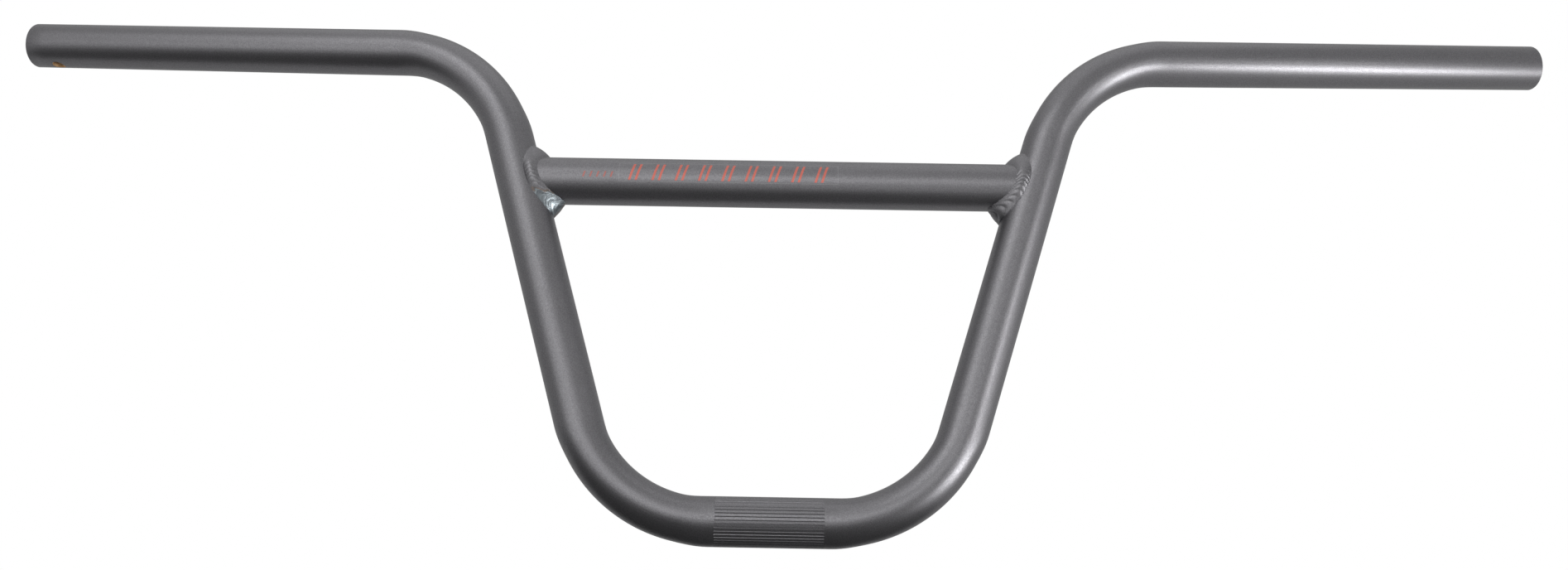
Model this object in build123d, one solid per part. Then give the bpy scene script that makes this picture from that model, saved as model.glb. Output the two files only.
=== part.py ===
from build123d import *
import math
import os

# A welded bar for a small-wheeled bicycle: one bent tube, a cross tube and two weld beads.
# Millimetres and degrees. The origin is the middle of the clamped stretch, on its axis.
# +X runs along the clamped stretch, +Z is up and -Y is the front, away from the rider.

# Main tube
tube_radius = 11.1
tube_wall = 2.6
clamp_half_length = 27.0
bottom_bend_radius = 62.0
leg_angle = 73.6
leg_length = 143.0
top_bend_radius = 69.0
backsweep = 12.0
upsweep = 6.3
grip_length = 204.5
end_chamfer = 0.5

# The tube is pressed slightly oval in its bends: narrower in the plane of the bend, wider across it
bend_narrowing = 0.055
bend_widening = 0.028
oval_run_in = 0.18

# Pressed grooves that stop the bar from turning in its clamp
groove_count = 44
groove_length = 47.6
groove_width = 0.45
groove_depth = 0.2

# Drain hole under the left grip, through one wall
drain_radius = 3.25
drain_from_end = 15.0

# Cross tube
cross_radius = 11.1
cross_wall = 2.2
cross_height = 160.5
cope_tip = 7.3

# Weld bead: its toes on the two tubes, and how far it stands proud of the line between them
toe_top = 5.8
toe_bottom = 7.3
toe_side = 2.2
leg_toe_side = 10.6
leg_toe_roundness = 2.6
crown_top = 0.55
crown_bottom = 0.25
crown_side = 1.25
bead_root = 1.5
toe_run_in = 0.4
cope_overlap = 2.2
bead_sections = 13


def unit(across, rise):
    """A direction turned back by one angle and up by another, both in degrees."""
    back, up = math.radians(across), math.radians(rise)
    return Vector(math.cos(back) * math.cos(up), math.sin(back) * math.cos(up), math.sin(up))


clamp_way = unit(0, 0)
leg_way = unit(0, leg_angle)
grip_way = unit(backsweep, upsweep)


def bend_plane(start, entry, leave, radius, share):
    """The tube's section plane at a share of a bend: x to the bend's centre, z along the tube."""
    turn = entry.get_angle(leave) * share
    inward = (leave - entry * entry.dot(leave)).normalized()
    sine, cosine = math.sin(math.radians(turn)), math.cos(math.radians(turn))
    place = start + entry * (radius * sine) + inward * (radius * (1 - cosine))
    return Plane(origin=place, x_dir=inward * cosine - entry * sine, z_dir=entry * cosine + inward * sine)


leg_start = bend_plane(clamp_way * clamp_half_length, clamp_way, leg_way, bottom_bend_radius, 1)
leg_end = leg_start.origin + leg_way * leg_length
grip_start = bend_plane(leg_end, leg_way, grip_way, top_bend_radius, 1)
grip_end = grip_start.origin + grip_way * grip_length


def oval(plane, across, along):
    """A circle stretched to the two radii and laid in a section plane."""
    ring = scale(Wire(Edge.make_circle(1)), by=(across, along, 1))
    return Wire(ring.edges()).moved(plane.location)


def bend(start, entry, leave, radius, inset):
    """One bend of the tube, its skin moved in by the inset."""
    line = [bend_plane(start, entry, leave, radius, share).origin for share in (0, 0.5, 1)]
    round_radius = tube_radius - inset
    narrow = tube_radius * (1 - bend_narrowing) - inset
    wide = tube_radius * (1 + bend_widening) - inset
    sections = []
    for share in (0, oval_run_in, 0.5, 1 - oval_run_in, 1):
        plane = bend_plane(start, entry, leave, radius, share)
        at_end = share in (0, 1)
        sections.append(oval(plane, round_radius if at_end else narrow, round_radius if at_end else wide))
    return Solid.sweep_multi(sections, Wire(Edge.make_three_point_arc(*line)))


def rod(start, way, length, radius):
    return Solid.make_cylinder(radius, length, Plane(origin=start, z_dir=way))


def turned(way, side):
    """A direction or place on the right half, or its mirror image on the left."""
    return Vector(way.X * side, way.Y, way.Z)


def arm(inset, side):
    """One half of the bent bar past its clamped stretch: two bends, a leg and a grip."""
    radius = tube_radius - inset
    out, up, back = turned(clamp_way, side), turned(leg_way, side), turned(grip_way, side)
    lower = bend(out * clamp_half_length, out, up, bottom_bend_radius, inset)
    leg = rod(turned(leg_start.origin, side), up, leg_length, radius)
    upper = bend(turned(leg_end, side), up, back, top_bend_radius, inset)
    grip = rod(turned(grip_start.origin, side), back, grip_length, radius)
    return lower + leg + upper + grip


def bent_rod(inset):
    """The whole bent bar as a solid rod, its skin moved in by the inset."""
    middle = rod(clamp_way * -clamp_half_length, clamp_way, 2 * clamp_half_length, tube_radius - inset)
    return middle + arm(inset, 1) + arm(inset, -1)


def grooves():
    """V grooves along the clamped stretch, all round."""
    skin = tube_radius * 2 - math.sqrt(tube_radius**2 - (groove_width / 2) ** 2)
    points = [(tube_radius - groove_depth, 0), (skin, groove_width), (skin, -groove_width)]
    cut = []
    for number in range(groove_count):
        plane = Plane.YZ.rotated((360 * number / groove_count, 0, 0)).offset(-groove_length / 2)
        cut.append(extrude(plane * Polygon(*points, align=None), groove_length, dir=clamp_way))
    return cut


def drain():
    """A round hole straight down through the left grip's lower wall."""
    left_way = turned(grip_way, -1)
    middle = turned(grip_end, -1) - left_way * drain_from_end
    down = (Vector(0, 0, -1) + left_way * left_way.Z).normalized()
    return rod(middle, down, 2 * tube_radius, drain_radius)


def main_tube(skin):
    """The bent tube: its outer skin hollowed, grooved, drilled and broken at its end rims."""
    tube = skin - bent_rod(tube_wall) - grooves() - drain()
    rims = [e for e in tube.edges().filter_by(GeomType.CIRCLE) if abs(e.arc_center.X) > grip_end.X - 0.01]
    return chamfer([e for e in rims if abs(e.radius - tube_radius) < 0.01], end_chamfer)


# Joint of the cross tube and the right leg
joint_rise = (cross_height - leg_start.origin.Z) / leg_way.Z
joint = leg_start.origin + leg_way * joint_rise
leg_tilt = math.radians(leg_angle)
cope_side = tube_radius / math.sqrt(1 - (cope_tip / cross_radius) ** 2)


def cross_tube():
    """A tube between the legs, its ends hollowed to sit on them, with the tips trimmed back."""
    start = Vector(-joint.X, 0, cross_height)
    tube = rod(start, clamp_way, 2 * joint.X, cross_radius)
    tube -= rod(start, clamp_way, 2 * joint.X, cross_radius - cross_wall)
    plane = Plane(origin=joint - leg_way * leg_length / 2, x_dir=(0, 1, 0), z_dir=leg_way)
    cope = extrude(plane * Ellipse(cope_side, tube_radius), leg_length)
    return tube - cope - mirror(cope, Plane.YZ)


def leg_face_x(y, z):
    """X of the right leg's inner face at a height."""
    reach = math.sqrt(max(tube_radius**2 - y**2, 0))
    return joint.X + ((z - joint.Z) * math.cos(leg_tilt) - reach) / math.sin(leg_tilt)


def blend(turn, top, side, bottom):
    """A size that goes smoothly from the top of the joint over its side to its bottom."""
    end = top if turn > 0 else bottom
    return side + (end - side) * math.sin(turn) ** 4


def bead_section(turn):
    """The bead's outline in the half plane at an angle round the cross tube's axis."""
    sine, cosine = math.sin(turn), math.cos(turn)

    def at(x, radius):
        return Vector(x, -radius * cosine, cross_height + radius * sine)

    def leg_x(radius):
        return leg_face_x(radius * cosine, cross_height + radius * sine)

    tip = math.sqrt((cross_radius * sine) ** 2 + (cope_tip * cosine) ** 2)
    end_x = joint.X + (cross_radius * sine * math.cos(leg_tilt) - tip) / math.sin(leg_tilt)
    toe_x = end_x - blend(turn, toe_top, toe_side, toe_bottom)
    leg_toe = cross_radius + (toe_top if turn > 0 else toe_bottom) * math.sin(leg_tilt)
    spread = (cosine / leg_toe_side) ** leg_toe_roundness + abs(sine / leg_toe) ** leg_toe_roundness
    leg_radius = spread ** (-1 / leg_toe_roundness)
    low, high = at(toe_x, cross_radius), at(leg_x(leg_radius), leg_radius)
    chord = high - low
    square = Vector(0, -cosine, sine)
    out = (square - chord * (square.dot(chord) / chord.dot(chord))).normalized()
    crown = blend(turn, crown_top, crown_side, crown_bottom)
    ridge = [low + chord * share + out * crown * rise for share, rise in ((0.25, 0.8), (0.5, 1), (0.75, 0.8))]
    under_low, under_high = low - (ridge[0] - low) * toe_run_in, high - (ridge[-1] - high) * toe_run_in
    root = cross_radius - bead_root
    feet = [at(leg_x(root) + bead_root, root), at(end_x - cope_overlap, root)]
    corners = [under_low, *ridge, under_high, *feet]
    return Wire.make_polygon(corners)


def weld_bead(skin, cross):
    """The weld round the cross tube's right end, cut to lie on both tubes."""
    turns = [math.pi * (number / (bead_sections - 1) - 0.5) for number in range(bead_sections)]
    front = Solid.make_loft([bead_section(turn) for turn in turns])
    return front + mirror(front, Plane.XZ) - skin - cross


bent_skin = bent_rod(0)
bar = main_tube(bent_skin)
cross = cross_tube()
weld_right = weld_bead(bent_skin, cross)
weld_left = mirror(weld_right, Plane.YZ)

os.makedirs("parts", exist_ok=True)
for name, solid in {
    "main_tube": bar,
    "cross_tube": cross,
    "weld_left": weld_left,
    "weld_right": weld_right,
}.items():
    export_step(solid, f"parts/{name}.step")
    box = solid.bounding_box()
    print(name, len(solid.solids()), round(solid.volume, 1), box.min, box.max)
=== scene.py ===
# %% [markdown]
# # A BMX handlebar
#
# The bar is one alloy tube bent four times, with a cross tube welded between its legs and a band of
# fine grooves where the stem clamps it. It is sprayed in a grey metallic coat. This lesson makes finer
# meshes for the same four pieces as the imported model, in its sizes and places, and their finishes.

# %% Load the frame
import math

import bmesh
import bpy
from mathutils import Matrix, Vector


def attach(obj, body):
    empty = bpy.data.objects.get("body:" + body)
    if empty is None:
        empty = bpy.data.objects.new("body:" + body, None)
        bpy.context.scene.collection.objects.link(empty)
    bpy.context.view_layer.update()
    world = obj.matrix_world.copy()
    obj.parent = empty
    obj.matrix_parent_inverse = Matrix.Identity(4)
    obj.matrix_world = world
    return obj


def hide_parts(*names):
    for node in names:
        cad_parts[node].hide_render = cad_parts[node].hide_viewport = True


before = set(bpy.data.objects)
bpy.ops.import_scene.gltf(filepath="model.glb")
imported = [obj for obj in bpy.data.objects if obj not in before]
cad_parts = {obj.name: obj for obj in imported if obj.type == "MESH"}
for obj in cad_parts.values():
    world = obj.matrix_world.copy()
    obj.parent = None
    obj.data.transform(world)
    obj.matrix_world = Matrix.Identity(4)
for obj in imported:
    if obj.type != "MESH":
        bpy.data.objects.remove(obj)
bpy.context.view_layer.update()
mm = 0.001

# %% [markdown]
# ## The tube's line
#
# A bent tube is drawn as a line first. A bender works from the same few numbers: the straight lengths,
# the radius of each bend and the way the tube points after it. The right half is enough, because the
# left half is its mirror image. The line starts in the middle of the clamped stretch.

# %% Directions of the straight stretches
leg_angle = 73.6
backsweep = 12.0
upsweep = 6.3


def way(back, up):
    """A direction turned back and up from +X, in degrees."""
    back, up = math.radians(back), math.radians(up)
    return Vector((math.cos(back) * math.cos(up), math.sin(back) * math.cos(up), math.sin(up)))


clamp_way = way(0, 0)
leg_way = way(0, leg_angle)
grip_way = way(backsweep, upsweep)

# %% The two bends of the right half
clamp_half_length = 27.0 * mm
bottom_bend_radius = 62.0 * mm
leg_length = 143.0 * mm
top_bend_radius = 69.0 * mm
grip_length = 204.5 * mm


class Bend:
    """One bend of the line, from its start and the ways in and out of it."""

    def __init__(self, start, entry, leave, radius):
        self.turn = entry.angle(leave)
        self.radius = radius
        self.inward = (leave - entry * entry.dot(leave)).normalized()
        self.centre = start + self.inward * radius
        self.axis = entry.cross(self.inward)
        self.end = self.centre + Matrix.Rotation(self.turn, 3, self.axis) @ (start - self.centre)


lower_bend = Bend(clamp_way * clamp_half_length, clamp_way, leg_way, bottom_bend_radius)
leg_end = lower_bend.end + leg_way * leg_length
upper_bend = Bend(leg_end, leg_way, grip_way, top_bend_radius)
grip_end = upper_bend.end + grip_way * grip_length
print("grip end in mm:", [round(value / mm, 2) for value in grip_end])

# %% [markdown]
# ## The main tube
#
# The real tube is extruded, bent and then rolled in a knurling press. In Blender a ring of points is
# drawn out along the line: `extrude_edge_only` for a straight stretch and `spin` for a bend. The ring
# has four points for each groove, so that the grooves only need some of them moved inwards later.
# The same ring turns over the rim and comes back through the bore, which closes the wall.

# %% A ring with four points for each groove
tube_radius = 11.1 * mm
groove_count = 44
groove_width = 0.45 * mm
points_per_groove = 4
share_slack = 0.1 / points_per_groove


def groove_share(point):
    """Where a point lies between two grooves, from -0.5 to 0.5, with 0 at the bottom of one."""
    turns = math.atan2(point.z, point.y) / math.tau * groove_count
    return turns - round(turns)


def grooved_ring(mesh):
    """A circle round the X axis whose points stand at each groove's bottom, sides and land."""
    upright = Matrix.Rotation(math.pi / 2, 4, "Z") @ Matrix.Rotation(math.pi / 2, 4, "X")
    made = bmesh.ops.create_circle(mesh, segments=groove_count * points_per_groove, radius=tube_radius,
                                   matrix=upright)
    beside = groove_width / 2 / tube_radius
    for vert in made["verts"]:
        share = groove_share(vert.co)
        if abs(abs(share) - 1 / points_per_groove) < share_slack:
            spare = math.copysign(beside, share) - share * math.tau / groove_count
            vert.co.rotate(Matrix.Rotation(spare, 3, "X"))
    return mesh.edges[:]


# %% Drawing a ring along the line
def rim_of(geometry):
    """The edges in what an operator made that still have a free side."""
    edges = [item for item in geometry if isinstance(item, bmesh.types.BMEdge)]
    return [edge for edge in edges if edge.is_boundary]


def points_of(edges):
    return list({vert for edge in edges for vert in edge.verts})


def draw_straight(mesh, ring, move):
    """Draws the ring out along a straight stretch and gives the new ring."""
    made = bmesh.ops.extrude_edge_only(mesh, edges=ring)
    new_ring = rim_of(made["geom"])
    bmesh.ops.translate(mesh, verts=points_of(new_ring), vec=move)
    return new_ring


def draw_bend(mesh, ring, bend, steps, forward=True):
    """Draws the ring round a bend and presses the new stretch oval, as a bender does."""
    before = set(mesh.verts)
    made = bmesh.ops.spin(mesh, geom=ring, cent=bend.centre, axis=bend.axis, steps=steps,
                          angle=bend.turn if forward else -bend.turn)
    for vert in set(mesh.verts) - before:
        press_oval(vert, bend)
    return rim_of(made["geom_last"])


# %% Pressing a bend oval
bend_narrowing = 0.055 * tube_radius
bend_widening = 0.028 * tube_radius
oval_run_in = 0.18


def press_oval(vert, bend):
    """Narrows the tube in the plane of the bend and widens it across, fading out at both ends."""
    arm = vert.co - bend.centre
    rise = arm.dot(bend.axis)
    spoke = arm - bend.axis * rise
    share = spoke.angle(-bend.inward) / bend.turn
    fade = min(share, 1 - share, oval_run_in) / oval_run_in
    press = fade * fade * (3 - 2 * fade)
    across = spoke.length - bend.radius
    reach = math.hypot(across, rise)
    vert.co -= spoke.normalized() * (bend_narrowing * press * across / reach)
    vert.co += bend.axis * (bend_widening * press * rise / reach)


# %% The right half, out along the skin and back through the bore
tube_wall = 2.6 * mm
end_chamfer = 0.5 * mm
rim_round = 0.3 * end_chamfer
groove_end = 23.8 * mm
groove_run_out = 0.15 * mm
skin_steps = 40
bore_steps = 14


def turn_over_rim(mesh, ring):
    """Rounds the rim from the skin over the cut end and into the bore."""
    rim = [(tube_radius - rim_round, rim_round),
           (tube_radius - end_chamfer, 0),
           (tube_radius - tube_wall + rim_round, 0),
           (tube_radius - tube_wall, rim_round)]
    radius, depth = tube_radius, end_chamfer
    for next_radius, next_depth in rim:
        ring = draw_straight(mesh, ring, grip_way * (depth - next_depth))
        middle = grip_end - grip_way * next_depth
        size = Vector((1, 1, 1)) * (next_radius / radius)
        bmesh.ops.scale(mesh, verts=points_of(ring), vec=size, space=Matrix.Translation(-middle))
        radius, depth = next_radius, next_depth
    return ring, depth


def half_tube(mesh):
    """Draws the ring out to the grip's end and back inside to the middle, at the wall's thickness."""
    ring = grooved_ring(mesh)
    start = 0
    for end in (groove_end, groove_end + groove_run_out, clamp_half_length):
        ring = draw_straight(mesh, ring, clamp_way * (end - start))
        start = end
    ring = draw_bend(mesh, ring, lower_bend, skin_steps)
    ring = draw_straight(mesh, ring, leg_way * leg_length)
    ring = draw_bend(mesh, ring, upper_bend, skin_steps)
    ring = draw_straight(mesh, ring, grip_way * (grip_length - end_chamfer))
    ring, depth = turn_over_rim(mesh, ring)
    ring = draw_straight(mesh, ring, grip_way * (depth - grip_length))
    ring = draw_bend(mesh, ring, upper_bend, bore_steps, forward=False)
    ring = draw_straight(mesh, ring, leg_way * -leg_length)
    ring = draw_bend(mesh, ring, lower_bend, bore_steps, forward=False)
    draw_straight(mesh, ring, clamp_way * -clamp_half_length)


tube = bmesh.new()
half_tube(tube)
print("right half:", len(tube.faces), "faces")

# %% [markdown]
# ## Grooves for the clamp
#
# The knurl is a ring of 44 shallow V grooves that keeps the bar from turning in its stem. Every fourth
# point of the ring stands at a groove's bottom, so one move inwards presses them all.

# %% Press the grooves and mirror the half
groove_depth = 0.2 * mm
merge_gap = 0.001 * mm


def press_grooves(mesh):
    """Moves the groove points of the clamped stretch inwards and counts them."""
    pressed = 0
    for vert in mesh.verts:
        spread = math.hypot(vert.co.y, vert.co.z)
        in_band = vert.co.x < groove_end + merge_gap and spread > tube_radius - groove_depth
        if in_band and abs(groove_share(vert.co)) < share_slack:
            vert.co.yz *= 1 - groove_depth / tube_radius
            pressed += 1
    return pressed


def mirror_half(mesh):
    """Adds the left half, joins the two in the middle and turns all faces outwards."""
    everything = mesh.verts[:] + mesh.edges[:] + mesh.faces[:]
    bmesh.ops.mirror(mesh, geom=everything, matrix=Matrix.Identity(4), merge_dist=merge_gap, axis="X")
    bmesh.ops.remove_doubles(mesh, verts=mesh.verts, dist=merge_gap)
    bmesh.ops.recalc_face_normals(mesh, faces=mesh.faces)


print("groove points pressed on the right:", press_grooves(tube))
mirror_half(tube)
print("both halves:", len(tube.faces), "faces, open edges", sum(e.is_boundary for e in tube.edges))

# %% [markdown]
# ## The drain hole
#
# A small hole under the left grip lets the coating bath run out. A drilled hole in a curved wall needs
# a patch of its own: the wall is cut by planes across the grip, a square patch of faces is taken away,
# and its edge is drawn in to a circle that still lies on the curved skin. The same is done in the bore,
# and the two circles are bridged to make the wall of the hole.

# %% Where the hole is
drain_radius = 3.25 * mm
drain_from_end = 15.0 * mm
patch_half = 5.2 * mm
cuts_each_way = 4

left_way = Vector((-grip_way.x, grip_way.y, grip_way.z))
left_end = Vector((-grip_end.x, grip_end.y, grip_end.z))
drain_middle = left_end - left_way * drain_from_end
drain_down = (Vector((0, 0, -1)) + left_way * left_way.z).normalized()
drain_side = left_way.cross(drain_down)


def from_drain(point):
    """A point's place along the grip and to its side, and its distance from the grip's axis."""
    arm = point - drain_middle
    along = arm.dot(left_way)
    return along, arm.dot(drain_side), (arm - left_way * along).length


# %% Cut the wall and open the patch
def cut_across(mesh):
    """Cuts the left grip so that the patch's edge points stand evenly round the hole."""
    for number in range(-cuts_each_way, cuts_each_way + 1):
        offset = patch_half * math.tan(math.pi / 4 * number / cuts_each_way)
        bmesh.ops.bisect_plane(mesh, geom=mesh.verts[:] + mesh.edges[:] + mesh.faces[:], dist=merge_gap,
                               plane_co=drain_middle + left_way * offset, plane_no=left_way)


def patch_faces(mesh):
    """The faces of both walls inside the square patch under the grip."""
    found = []
    for face in mesh.faces:
        middle = face.calc_center_median()
        along, side, reach = from_drain(middle)
        below = (middle - drain_middle).dot(drain_down) > 0
        if below and abs(along) < patch_half and abs(side) < patch_half * reach / tube_radius:
            found.append(face)
    return found


cut_across(tube)
bmesh.ops.delete(tube, geom=patch_faces(tube), context="FACES")
patch_edges = [edge for edge in tube.edges if edge.is_boundary]
print("edges round the two patches:", len(patch_edges))

# %% Draw the patches in to circles and bridge them
drain_edge = 0.15 * mm
bare_wall = 1
bore_finish = 2


def draw_in(mesh, loop, radius, skin):
    """Draws a loop of edges in to a circle of the given radius that lies on a skin of the grip."""
    made = bmesh.ops.extrude_edge_only(mesh, edges=loop)
    new_loop = rim_of(made["geom"])
    for vert in points_of(new_loop):
        along, side, _ = from_drain(vert.co)
        share = radius / math.hypot(along, side)
        along, side = along * share, side * share
        drop = math.sqrt(skin**2 - side**2)
        vert.co = drain_middle + left_way * along + drain_side * side + drain_down * drop
    return new_loop


def bored_loop(mesh, edges, skin, inward):
    """Draws a patch's edge in to the hole's mouth on one skin, with a broken edge."""
    loop = draw_in(mesh, edges, (drain_radius + patch_half) / 2, skin)
    loop = draw_in(mesh, loop, drain_radius + drain_edge, skin)
    return draw_in(mesh, loop, drain_radius, skin + inward * drain_edge)


def drill(mesh, edges):
    """Closes both patches round the hole and joins them with the hole's wall."""
    middle_skin = tube_radius - tube_wall / 2
    outer = [edge for edge in edges if from_drain(edge.verts[0].co)[2] > middle_skin]
    inner = [edge for edge in edges if from_drain(edge.verts[0].co)[2] < middle_skin]
    outer = bored_loop(mesh, outer, tube_radius, -1)
    inner = bored_loop(mesh, inner, tube_radius - tube_wall, 1)
    wall = bmesh.ops.bridge_loops(mesh, edges=outer + inner)["faces"]
    for face in wall:
        face.material_index = bare_wall
    return len(wall)


print("faces of the hole's wall:", drill(tube, patch_edges))

# %% From bmesh to a piece
sharp_angle = math.radians(24)


def as_object(mesh, name):
    """Turns a finished bmesh into an object of the scene."""
    data = bpy.data.meshes.new(name)
    mesh.to_mesh(data)
    mesh.free()
    made = bpy.data.objects.new(name, data)
    bpy.context.scene.collection.objects.link(made)
    return made


def make_piece(mesh, name, node):
    """Shades a bmesh smooth between its sharp edges and sets it in place of its CAD node."""
    bmesh.ops.recalc_face_normals(mesh, faces=mesh.faces)
    for face in mesh.faces:
        face.smooth = True
    for edge in mesh.edges:
        edge.smooth = edge.calc_face_angle(0) < sharp_angle
    open_edges = sum(not edge.is_manifold for edge in mesh.edges)
    piece = as_object(mesh, name)
    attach(piece, "root")
    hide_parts(node)
    triangles = sum(len(face.vertices) - 2 for face in piece.data.polygons)
    print(name, "triangles:", triangles, "open:", open_edges)
    return piece


# %% Tell the bore from the skin
rim_facing = 0.5


def nearest_on_line(point):
    """The point of the right half's line that is nearest to a point beside it."""
    if point.x < clamp_half_length:
        return Vector((point.x, 0, 0))
    for bend, start, leave, length in ((lower_bend, clamp_way, leg_way, leg_length),
                                       (upper_bend, leg_way, grip_way, grip_length)):
        ahead = (point - bend.end).dot(leave)
        if ahead < 0:
            arm = point - bend.centre
            spoke = arm - bend.axis * arm.dot(bend.axis)
            return bend.centre + spoke.normalized() * bend.radius
        if ahead < length or leave is grip_way:
            return bend.end + leave * ahead


def faces_the_axis(middle, normal):
    """True on the inner wall: the nearest point of the tube's line lies ahead of the face."""
    point = Vector((abs(middle.x), middle.y, middle.z))
    normal = Vector((math.copysign(1, middle.x) * normal.x, normal.y, normal.z))
    return normal.dot(nearest_on_line(point) - point) > 0


def mark_bore(mesh):
    """Gives the faces of the bore, past the rims, a finish of their own."""
    for face in mesh.faces:
        normal, middle = face.normal, face.calc_center_median()
        if abs(middle.x) > grip_end.x - end_chamfer and abs(normal.x) > rim_facing:
            continue
        if face.material_index != bare_wall and faces_the_axis(middle, normal):
            face.material_index = bore_finish


mark_bore(tube)
main_tube = make_piece(tube, "bent_main_tube", "main_tube")

# %% [markdown]
# ## The cross tube
#
# The cross tube stiffens the bar. Its ends are hollowed to sit on the legs: a welder calls that a
# cope. A circle is drawn out along X to the leg, and each point of its end goes to the cope's curve.

# %% The cope
cross_radius = 11.1 * mm
cross_wall = 2.2 * mm
cross_height = 160.5 * mm
cope_tip = 7.3 * mm
leg_tilt = math.radians(leg_angle)
joint = lower_bend.end + leg_way * ((cross_height - lower_bend.end.z) / leg_way.z)


def beside_leg(rise, reach):
    """X at a height over the joint and at a distance inwards from the leg's middle plane."""
    return joint.x + (rise * math.cos(leg_tilt) - reach) / math.sin(leg_tilt)


def cope_x(point):
    """X of the cross tube's end at a point round it."""
    side_share = 1 - (cope_tip / cross_radius) ** 2
    return beside_leg(point.z - cross_height, math.sqrt(tube_radius**2 - point.y**2 * side_share))


# %% The cross tube's mesh
cross_points = 128


def to_cope(ring):
    """Moves the points of a ring along X on to the cope's curve."""
    for vert in points_of(ring):
        vert.co.x = cope_x(vert.co)


def cross_half(mesh):
    """Draws a circle out to the leg, turns it over the wall there and brings it back inside."""
    middle = Matrix.Translation((0, 0, cross_height))
    upright = middle @ Matrix.Rotation(math.pi / 2, 4, "Y")
    bmesh.ops.create_circle(mesh, segments=cross_points, radius=cross_radius, matrix=upright)
    ring = mesh.edges[:]
    ring = draw_straight(mesh, ring, clamp_way * joint.x)
    to_cope(ring)
    ring = draw_straight(mesh, ring, Vector())
    size = Vector((1, 1, 1)) - Vector((0, 1, 1)) * (cross_wall / cross_radius)
    bmesh.ops.scale(mesh, verts=points_of(ring), vec=size, space=middle.inverted())
    to_cope(ring)
    ring = draw_straight(mesh, ring, Vector())
    for vert in points_of(ring):
        vert.co.x = 0


bar = bmesh.new()
cross_half(bar)
mirror_half(bar)
cross_tube = make_piece(bar, "cross_tube_between_legs", "cross_tube")

# %% [markdown]
# ## The weld beads
#
# A weld bead is laid as a row of overlapping pools, each a little further round the joint, and they
# freeze as ripples. The bead starts as a plain loop that is spun once round the cross tube. Each point
# keeps its place in the loop as a number, and a formula then puts it on the real bead: from its toe on
# the cross tube over the crown to its toe on the leg, with the ripples added on top. The bead runs on a
# little past both toes, into the tubes' walls, so that no gap shows along it.

# %% The plain ring
crown_stations = 17
hidden_stations = 2
ripple_count = 28
steps_per_ripple = 14


def plain_ring(mesh):
    """A loop spun once round the cross tube's axis, each point numbered along the loop."""
    station = mesh.verts.layers.int.new("station")
    count = crown_stations + hidden_stations
    place = Matrix.Translation((joint.x, 0, cross_height + cross_radius + 3 * tube_wall))
    upright = place @ Matrix.Rotation(math.pi / 2, 4, "X")
    made = bmesh.ops.create_circle(mesh, segments=count, radius=tube_wall, matrix=upright)
    loop = sorted(made["verts"], key=lambda vert: math.atan2(vert.co.z - place.translation.z,
                                                             vert.co.x - place.translation.x))
    for number, vert in enumerate(reversed(loop)):
        vert[station] = number
    bmesh.ops.spin(mesh, geom=mesh.edges[:], cent=Vector((0, 0, cross_height)), axis=clamp_way,
                   angle=math.tau, steps=ripple_count * steps_per_ripple, use_merge=True)
    return station


# %% The bead's section
toe_top = 5.8 * mm
toe_bottom = 7.3 * mm
toe_side = 2.2 * mm
leg_toe_side = 10.6 * mm
leg_toe_roundness = 2.6
crown_top = 0.55 * mm
crown_bottom = 0.25 * mm
crown_side = 1.25 * mm
bead_root = 1.5 * mm
cope_overlap = 2.2 * mm


def blend(turn, top, side, bottom):
    """A size that goes smoothly from the top of the joint over its side to its bottom."""
    end = top if math.sin(turn) > 0 else bottom
    return side + (end - side) * math.sin(turn) ** 4


def at(x, radius, turn):
    """A point at an angle and a distance round the cross tube's axis, with 0 at the front."""
    return Vector((x, -radius * math.cos(turn), cross_height + radius * math.sin(turn)))


def leg_face(radius, turn):
    """Where the leg's skin is met at a distance from the cross tube's axis."""
    point = at(0, radius, turn)
    reach = math.sqrt(max(tube_radius**2 - point.y**2, 0))
    return at(beside_leg(point.z - cross_height, reach), radius, turn)


def toes(turn):
    """The bead's toe on the cross tube and its toe on the leg."""
    end_x = cope_x(at(0, cross_radius, turn))
    low = at(end_x - blend(turn, toe_top, toe_side, toe_bottom), cross_radius, turn)
    leg_toe = cross_radius + (toe_top if turn > 0 else toe_bottom) * math.sin(leg_tilt)
    sideways, upwards = abs(math.cos(turn) / leg_toe_side), abs(math.sin(turn) / leg_toe)
    spread = sideways**leg_toe_roundness + upwards**leg_toe_roundness
    return low, leg_face(spread ** (-1 / leg_toe_roundness), turn)


# %% Ripples
ripple_bow = 1.0
ripple_front = 0.45
slow_wander = 0.30
quick_wander = 0.15


def arc(turn, share):
    """A point's place round the bead, counted in ripples from the front. Each ripple bows upwards."""
    wander = slow_wander * math.sin(3 * turn + 1) + quick_wander * math.sin(7 * turn)
    return turn / math.tau * ripple_count + wander + ripple_bow * (2 * share - 1) ** 2


def ripple(turn, share):
    """How high the frozen pool stands, from 0 to 1: a steep front and a long back."""
    phase = arc(turn, share) % 1
    climb = min(phase / (1 - ripple_front), (1 - phase) / ripple_front)
    return math.sin(climb * math.pi / 2)


# %% The ripples' height
right, left = 1, -1
ripple_height = {right: 0.36 * mm, left: 0.13 * mm}
smooth_from = 0.75
smooth_run_in = 0.6
uneven = 0.15
pool_level = 0.6


def roughly_laid(turn):
    """0 over the joint, where the weld is smooth, and 1 on its sides and below."""
    ease = min(max((smooth_from - math.sin(turn)) / smooth_run_in, 0), 1)
    return ease * ease * (3 - 2 * ease) * (1 - uneven + uneven * math.sin(5 * turn + 2))


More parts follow.
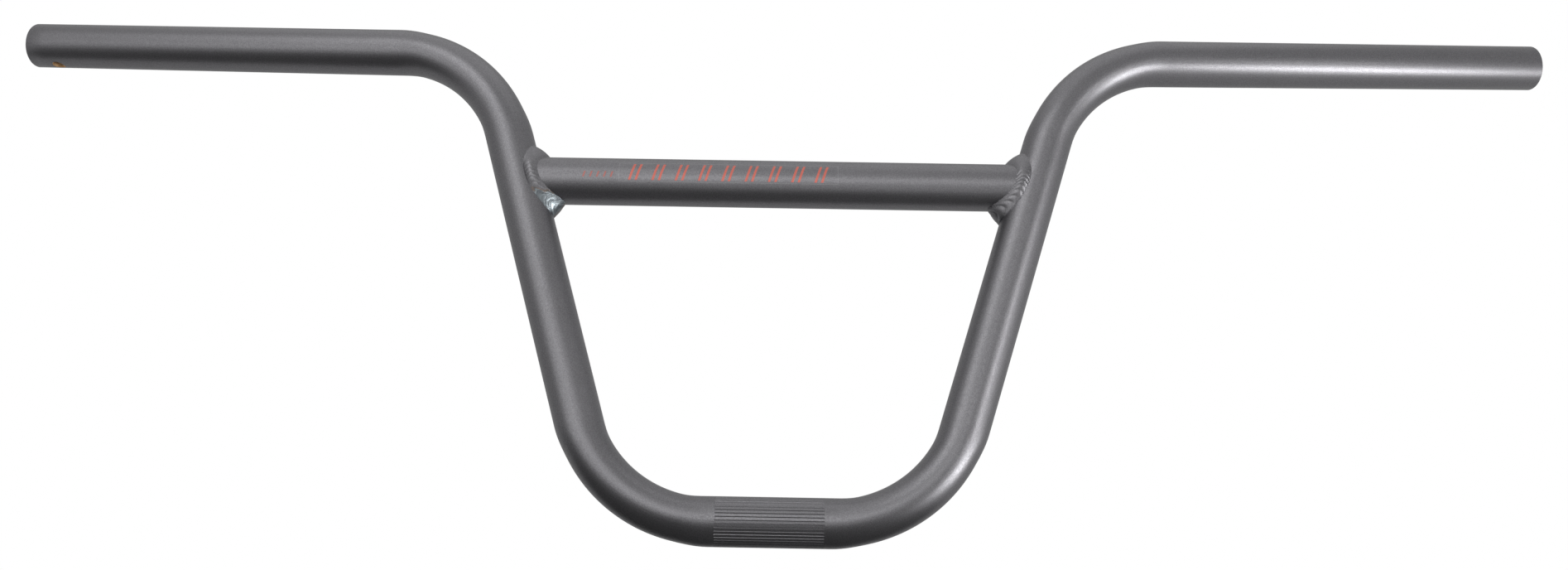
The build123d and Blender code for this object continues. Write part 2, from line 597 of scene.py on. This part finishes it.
def bead_point(turn, share, side):
    """A point of the bead's surface, with share from 0 at the cross tube's toe to 1 at the leg's."""
    low, high = toes(turn)
    chord = high - low
    square = Vector((0, -math.cos(turn), math.sin(turn)))
    out = (square - chord * (square.dot(chord) / chord.dot(chord))).normalized()
    crown = blend(turn, crown_top, crown_side, crown_bottom)
    rise = crown * math.sin(math.pi * share)
    pools = ripple_height[side] * roughly_laid(turn) * (ripple(turn, share) - pool_level)
    return low + chord * share + out * (rise + pools)


def foot(turn, station):
    """The two points of the bead's root, hidden in the walls of the tubes."""
    root = cross_radius - bead_root
    if station == crown_stations:
        return leg_face(root, turn) + Vector((bead_root, 0, 0))
    return at(cope_x(at(0, cross_radius, turn)) - cope_overlap, root, turn)


# %% The two beads
past_the_toe = 0.12
toe_line = 9


def weld_bead(name, node, side):
    """The bead on one side, with its toe, valleys and ripples kept as layers; the first two steer
    painted shade.
    """
    mesh = bmesh.new()
    station = plain_ring(mesh)
    toe = mesh.verts.layers.float.new("toe")
    valley = mesh.verts.layers.float.new("valley")
    arcs = mesh.verts.layers.float.new("arcs")
    for vert in mesh.verts:
        turn = math.atan2(vert.co.z - cross_height, -vert.co.y)
        if vert[station] >= crown_stations:
            vert.co = foot(turn, vert[station])
            continue
        spread = 1 + 2 * past_the_toe
        share = vert[station] / (crown_stations - 1) * spread - past_the_toe
        vert.co = bead_point(turn, share, side)
        # the toe layer marks where painted shade darkens the coat along the leg's toe, and valley where
        # it darkens the ripples' valleys
        vert[toe] = roughly_laid(turn) * min(max(1 - (1 - share) * toe_line, 0), 1)
        vert[valley] = roughly_laid(turn) * (1 - ripple(turn, share))
        vert[arcs] = arc(turn, share)
    if side == left:
        bmesh.ops.scale(mesh, verts=mesh.verts, vec=Vector((-1, 1, 1)))
    return make_piece(mesh, name, node)


bead_right = weld_bead("weld_bead_right", "weld_right", right)
bead_left = weld_bead("weld_bead_left", "weld_left", left)

# %% [markdown]
# ## Writing shader maths as sums
#
# A material is a graph of nodes. A small class that wraps one socket makes it read like ordinary
# arithmetic, so that `1 - mask` adds the Math node for it. Any other node comes from one method.

# %% The class
class Shade:
    """One output socket of a material."""

    def __init__(self, tree, socket=None):
        self.tree = tree
        self.socket = socket

    def node(self, kind, settings, inputs, output=0):
        """Adds a node with its settings, then the values or links of its sockets."""
        made = self.tree.nodes.new("ShaderNode" + kind)
        for name, value in settings.items():
            setattr(made, name, value)
        for name, value in inputs.items():
            if isinstance(value, Shade):
                self.tree.links.new(value.socket, made.inputs[name])
            else:
                made.inputs[name].default_value = value
        return Shade(self.tree, made.outputs[output])

    def maths(self, operation, first, second=0.0):
        return self.node("Math", {"operation": operation}, {0: first, 1: second})

    def __add__(self, other):
        return self.maths("ADD", self, other)

    def __sub__(self, other):
        return self.maths("SUBTRACT", self, other)

    def __rsub__(self, other):
        return self.maths("SUBTRACT", other, self)

    def __mul__(self, other):
        return self.maths("MULTIPLY", self, other)

    def __truediv__(self, other):
        return self.maths("DIVIDE", self, other)

    __radd__ = __add__
    __rmul__ = __mul__

    def __abs__(self):
        return self.maths("ABSOLUTE", self)

    def ease(self, low, high):
        """0 below low and 1 above high, or the other way round, with a soft step between."""
        settings = {"interpolation_type": "SMOOTHSTEP"}
        return self.node("MapRange", settings, {"Value": self, "From Min": low, "From Max": high})


# %% Helpers for every finish
def new_finish(name):
    """A material, and the place on the piece in the frame's metres."""
    finish = bpy.data.materials.new(name)
    finish.use_nodes = True
    place = Shade(finish.node_tree).node("TexCoord", {}, {}, "Object")
    return finish, place


def set_shader(finish, values):
    """Sets or links the sockets of the material's shader."""
    shader = finish.node_tree.nodes["Principled BSDF"]
    for name, value in values.items():
        if isinstance(value, Shade):
            finish.node_tree.links.new(value.socket, shader.inputs[name])
        else:
            shader.inputs[name].default_value = value


def noise(place, size, detail=2.0, roughness=0.5):
    """A cloudy pattern whose blobs are about the given size in metres."""
    inputs = {"Vector": place, "Scale": 1 / size, "Detail": detail, "Roughness": roughness}
    return place.node("TexNoise", {}, inputs)


def mix(mask, low, high):
    """The colour low where the mask is 0 and high where it is 1."""
    low, high = [value if isinstance(value, Shade) else (*value, 1) for value in (low, high)]
    colour_inputs = {"Factor": mask, 6: low, 7: high}
    return mask.node("Mix", {"data_type": "RGBA"}, colour_inputs, 2)


def bump(height, distance, strength=1.0):
    return height.node("Bump", {}, {"Height": height, "Distance": distance, "Strength": strength})


def x_y_z(place):
    """The three coordinates of a place."""
    return [place.node("SeparateXYZ", {}, {"Vector": place}, axis) for axis in "XYZ"]


def layer(place, name):
    """A number kept at each point of the mesh."""
    return place.node("Attribute", {"attribute_name": name}, {}, "Fac")


# %% [markdown]
# ## The grey metallic coat
#
# The coat is a dark grey lacquer full of tiny metal flakes. Each flake lies at its own angle, so close
# up the coat sparkles, and from a step away it looks satin. A noise of less than half a millimetre
# stands for the flakes: it changes the colour, the roughness and the slope of the surface together.

# %% Flakes
coat_dark = (0.141, 0.139, 0.147)
coat_light = (0.208, 0.205, 0.215)
flake_size = 0.42 * mm
flake_depth = 0.02 * mm
flake_gloss = 0.06
cloud_size = 14 * mm
coat_roughness = 0.43
coat_metallic = 0.9


def coat_parts(place):
    """The coat's colour, roughness and slope."""
    flakes = noise(place, flake_size, detail=1.0).ease(0.30, 0.72)
    clouds = noise(place, cloud_size, detail=3.0)
    colour = mix(flakes * 0.8 + clouds * 0.2, coat_dark, coat_light)
    return colour, coat_roughness - flakes * flake_gloss, bump(flakes, flake_depth, 0.45)


def grey_coat(name):
    finish, place = new_finish(name)
    colour, roughness, slope = coat_parts(place)
    set_shader(finish, {"Base Color": colour, "Roughness": roughness, "Normal": slope,
                        "Metallic": coat_metallic})
    return finish


# %% Bare metal in the hole and in the bore
grain_size = 0.3 * mm
stain_size = 3 * mm


def bare_alloy(name, dark, light, roughness, metallic):
    """Drawn or drilled alloy without a coat, with fine lines in it."""
    finish, place = new_finish(name)
    grain = noise(place, grain_size, detail=3.0)
    stains = noise(place, stain_size, detail=3.0)
    tone = grain * 0.4 + stains * 0.6
    set_shader(finish, {"Base Color": mix(tone.ease(0.3, 0.7), dark, light), "Metallic": metallic,
                        "Roughness": roughness - grain * 0.15, "Normal": bump(grain, 0.03 * mm, 0.6)})
    return finish


for finish in (grey_coat("grey_metallic_coat"),
               # the hole's wall is bare alloy, and its orange-brown colour is a painted warm reflection
               bare_alloy("drilled_alloy_painted_reflection", dark=(0.50, 0.30, 0.15), light=(0.90, 0.62, 0.36),
                          roughness=0.45, metallic=0.5),
               bare_alloy("drawn_alloy", dark=(0.16, 0.16, 0.16), light=(0.42, 0.42, 0.41),
                          roughness=0.55, metallic=1.0)):
    main_tube.data.materials.append(finish)
print("finishes of the main tube:", [finish.name for finish in main_tube.data.materials])

# %% [markdown]
# ## The print on the cross tube
#
# A thin red print sits on the front of the cross tube, under a clear film. It is a generic row of
# slanted strokes in pairs, with a few small ones before them. The place round the tube and the place
# along it are worked out from the object's own coordinates, so the strokes follow the round surface
# without any image.

# %% Where the print lies
print_turn = math.radians(5.0)
pairs_left = -71 * mm
pair_pitch = 10.8 * mm
pair_count = 9
pair_gap = 3 * mm
pairs_right = pairs_left + pair_count * pair_pitch
small_left = -91 * mm
small_pitch = 3.2 * mm
small_count = 5
small_drop = 1.6 * mm
print("the print runs along X from", small_left / mm, "to", round(pairs_right / mm, 1), "mm")

# %% One row of strokes
stroke_slant = 0.30
edge_softness = 0.08 * mm
row_end = 0.01


def below(value, limit):
    """1 where the value is under the limit."""
    return value.ease(limit + edge_softness, limit - edge_softness)


def strokes(along, up, start, pitch, count, half_height, width):
    """A row of slanted strokes, each in the middle of its own step."""
    number = (along - up * stroke_slant - start) / pitch
    step = number.maths("FLOOR", number)
    beside = abs(number - step - 0.5) * pitch
    inside = number.ease(-row_end, row_end) * number.ease(count + row_end, count - row_end)
    return below(beside, width / 2) * below(abs(up), half_height) * inside


# %% The cross tube's finish
print_red = (0.47, 0.105, 0.075)
small_red = (0.33, 0.09, 0.07)
tall_half_height = 4.2 * mm
tall_width = 1.1 * mm
small_half_height = 1.4 * mm
small_width = 0.8 * mm
film_half_height = 4.9 * mm
film_margin = 2.2 * mm
film_edge = 0.16 * mm


def printed_coat(name):
    """The grey coat with the strokes and the clear film's outline on it."""
    finish, place = new_finish(name)
    colour, roughness, slope = coat_parts(place)
    x, y, z = x_y_z(place)
    turn = place.maths("ARCTAN2", z - cross_height, y * -1.0)
    up = (turn - print_turn) * cross_radius
    first, second = [strokes(x, up, left, pair_pitch, pair_count, tall_half_height, tall_width)
                     for left in (pairs_left - pair_gap / 2, pairs_left + pair_gap / 2)]
    tall = first + second
    small = strokes(x, up + small_drop, small_left, small_pitch, small_count,
                    small_half_height, small_width)
    film_middle = (pairs_left + pairs_right) / 2
    film_half = (pairs_right - pairs_left) / 2 + film_margin
    across, over = abs(x - film_middle) - film_half, abs(up) - film_half_height
    outline = across.maths("MAXIMUM", across, over)
    film = below(outline, 0)
    border = below(abs(outline), film_edge / 2)
    colour = mix(border * 0.25, colour, (0.5, 0.5, 0.5))
    colour = mix(small * 0.8, colour, small_red)
    colour = mix(tall * 0.95, colour, print_red)
    metallic = coat_metallic - (tall + small) * 0.7
    set_shader(finish, {"Base Color": colour, "Roughness": roughness - film * 0.03, "Normal": slope,
                        "Metallic": metallic})
    return finish


cross_tube.data.materials.append(printed_coat("grey_coat_with_print"))

# %% [markdown]
# ## The coat on the weld beads
#
# The coat over the beads has painted shade: its colour is darkened in the valleys between the ripples
# and along the toe on the leg. On the left bead the coat is missing at the front below, where the bare
# alloy shines through. The alloy froze in wrinkles finer than the ripples, and they run the same way
# round.

# %% Weld finishes
wrinkles_per_ripple = 5.0
silver_dark = (0.085, 0.095, 0.105)
silver_light = (0.24, 0.27, 0.285)
scorched = (0.16, 0.11, 0.075)
# colour of the painted shade in the ripples' valleys and along the leg's toe
painted_shade_dark = (0.03, 0.03, 0.035)
wrinkle_length = 3 * mm
wrinkle_depth = 0.08 * mm
blotch_size = 1.6 * mm
patch_edge = 0.3 * mm
rim_width = 0.9 * mm


def frozen_wrinkles(place, x):
    """Fine lines that follow the ripples, broken up across the bead."""
    round_bead = layer(place, "arcs") * wrinkles_per_ripple
    lines = place.node("CombineXYZ", {}, {"X": round_bead, "Y": x / wrinkle_length})
    return noise(lines, 1.0, detail=3.0).ease(0.32, 0.68)


def weld_coat(name, bare):
    """The coat on a bead. `bare` gives how far a point is inside the bare alloy, from its place."""
    finish, place = new_finish(name)
    colour, roughness, slope = coat_parts(place)
    x, y, z = x_y_z(place)
    toe, valley = layer(place, "toe"), layer(place, "valley")
    # painted shade: the coat is darkened in the ripples' valleys and along the leg's toe, where shade
    # falls
    painted_crease_shade = toe.maths("MAXIMUM", toe * 0.75, valley.ease(0.55, 1.0) * 0.6)
    inside = bare(y, z, noise(place, blotch_size, detail=4.0))
    patch = inside.ease(0.0, patch_edge)
    rim = inside.ease(-rim_width, 0.0) * (1 - patch)
    wrinkles = frozen_wrinkles(place, x)
    colour = mix(painted_crease_shade, colour, painted_shade_dark)
    colour = mix(rim * 0.7, colour, scorched)
    silver = mix(wrinkles * (1 - painted_crease_shade), silver_dark, silver_light)
    colour = mix(patch, colour, silver)
    creased = bump(wrinkles * patch, wrinkle_depth)
    slope = place.node("Mix", {"data_type": "VECTOR"}, {"Factor": patch, 4: slope, 5: creased}, 1)
    set_shader(finish, {"Base Color": colour, "Roughness": roughness - patch * 0.06, "Normal": slope,
                        "Metallic": coat_metallic})
    return finish


# %% The bare patch low on the left bead
patch_top = cross_height - 8.6 * mm
patch_back = -0.5 * mm
ragged = 4 * mm


def bare_below(y, z, blotches):
    """Inside the patch at the front of the bead, from its ragged top to the bead's lowest point."""
    level = patch_top + (blotches - 0.5) * ragged - z
    return level.maths("MINIMUM", level, patch_back - y)


def bare_nowhere(y, z, blotches):
    return blotches * 0.0 - 1.0


bead_left.data.materials.append(weld_coat("weld_coat_bare_below", bare_below))
bead_right.data.materials.append(weld_coat("weld_coat_whole", bare_nowhere))
print("finishes of the beads:", [bead.data.materials[0].name for bead in (bead_left, bead_right)])

# %% [markdown]
# ## Floor, light and camera
#
# The bar is seen from a little below, so the pale floor lies under the camera and the background is
# plain white. Wide soft lights in front and one overhead give the light upper half of each tube. Two
# dark cards under the bar, seen only in reflections, give the dark band below the middle. A lamp low at
# the right draws the bright line along the right grip, and a narrow strip the one down the right leg.

# %% A level sheet
def flat_sheet(name, left, right, front, back, height):
    """A level sheet between four edges."""
    mesh = bmesh.new()
    bmesh.ops.create_grid(mesh, x_segments=1, y_segments=1, size=0.5)
    bmesh.ops.scale(mesh, verts=mesh.verts, vec=Vector((right - left, back - front, 1)))
    centre = Vector(((left + right) / 2, (front + back) / 2, height))
    bmesh.ops.translate(mesh, verts=mesh.verts, vec=centre)
    return as_object(mesh, name)


def dull_grey(name, grain, detail, dark, light, roughness):
    """A dull grey finish, between two greys from grain to grain."""
    finish, place = new_finish(name)
    speckle = noise(place, grain, detail=detail)
    set_shader(finish, {"Base Color": mix(speckle, (dark, dark, dark), (light, light, light)),
                        "Roughness": roughness})
    return finish


# %% Floor
floor_height = -0.60
floor_half = 4.0

floor = flat_sheet("floor", -floor_half, floor_half, -floor_half, floor_half, floor_height)
floor.data.materials.append(dull_grey("pale_floor", grain=0.02, detail=4.0, dark=0.78, light=0.84,
                                      roughness=0.9))

# %% Dark cards under the bar
card_height = -0.09


def dark_card(name, left, right, front, back):
    """A black card that only shows in reflections."""
    card = flat_sheet(name, left, right, front, back, card_height)
    card.data.materials.append(dull_grey(name + "_felt", grain=0.004, detail=2.0, dark=0.01, light=0.02,
                                         roughness=1.0))
    card.visible_camera = False
    card.visible_diffuse = False
    card.visible_shadow = False


dark_card("dark_card_left", -1.10, -0.10, -0.50, 0.14)
dark_card("dark_card_middle", -0.10, 0.20, -0.24, 0.13)

# %% Lights
def soft_light(name, place, aim, width, height, power, spread=180):
    """A rectangular soft light that points at a place, its light kept inside a spread in degrees."""
    data = bpy.data.lights.new(name, "AREA")
    data.shape = "RECTANGLE"
    data.size = width
    data.size_y = height
    data.energy = power
    data.spread = math.radians(spread)
    lamp = bpy.data.objects.new(name, data)
    bpy.context.scene.collection.objects.link(lamp)
    lamp.location = place
    lamp.rotation_euler = (Vector(aim) - Vector(place)).to_track_quat("-Z", "Y").to_euler()
    lamp.visible_camera = False


middle = (0, 0, 0.12)
soft_light("front_wall", (-1.0, -2.0, 0.14), middle, 2.4, 1.0, 10)
soft_light("front_panel", (0.30, -2.3, 0.40), middle, 1.0, 0.9, 3.98)
soft_light("key_softbox", (-1.0, -1.75, 1.4), middle, 1.4, 1.2, 11.4)
soft_light("overhead_softbox", (0, -0.2, 2.1), middle, 2.4, 2.0, 7.2)
soft_light("right_leg_strip", (0.99, -0.65, 0.12), (0.088, 0, 0.045), 0.36, 0.20, 0.064, spread=26)
soft_light("low_side_lamp", (1.49, -0.57, -0.45), (0.2, 0, 0.17), 0.85, 0.22, 2.84, spread=75)
print("soft lights:", len(bpy.data.lights))

# %% World
white_seen = 1.0
grey_reflected = 0.53


def studio_world():
    """White where the camera looks past the bar, and an even soft grey light from all sides."""
    world = bpy.data.worlds.new("studio")
    world.use_nodes = True
    tree = world.node_tree
    path = Shade(tree).node("LightPath", {}, {}, "Is Camera Ray")
    strength = path * (white_seen - grey_reflected) + grey_reflected
    background = tree.nodes["Background"]
    background.inputs["Color"].default_value = (1, 1, 1, 1)
    tree.links.new(strength.socket, background.inputs["Strength"])
    bpy.context.scene.world = world


studio_world()
bpy.context.scene.view_settings.view_transform = "Standard"

# %% Camera
camera_place = Vector((0.011953, -0.757402, -0.159261))
camera_rise = math.radians(19.610)
camera_swing = math.radians(0.582)
camera_roll = math.radians(1.140)

camera_data = bpy.data.cameras.new("camera")
camera_data.lens = 40.165
camera_data.sensor_width = 36.0
camera_data.clip_start = 0.01
camera = bpy.data.objects.new("camera", camera_data)
bpy.context.scene.collection.objects.link(camera)
turned = Matrix.Rotation(camera_swing, 4, "Z") @ Matrix.Rotation(math.pi / 2 + camera_rise, 4, "X")
camera.matrix_world = Matrix.Translation(camera_place) @ turned @ Matrix.Rotation(camera_roll, 4, "Z")
bpy.context.scene.camera = camera
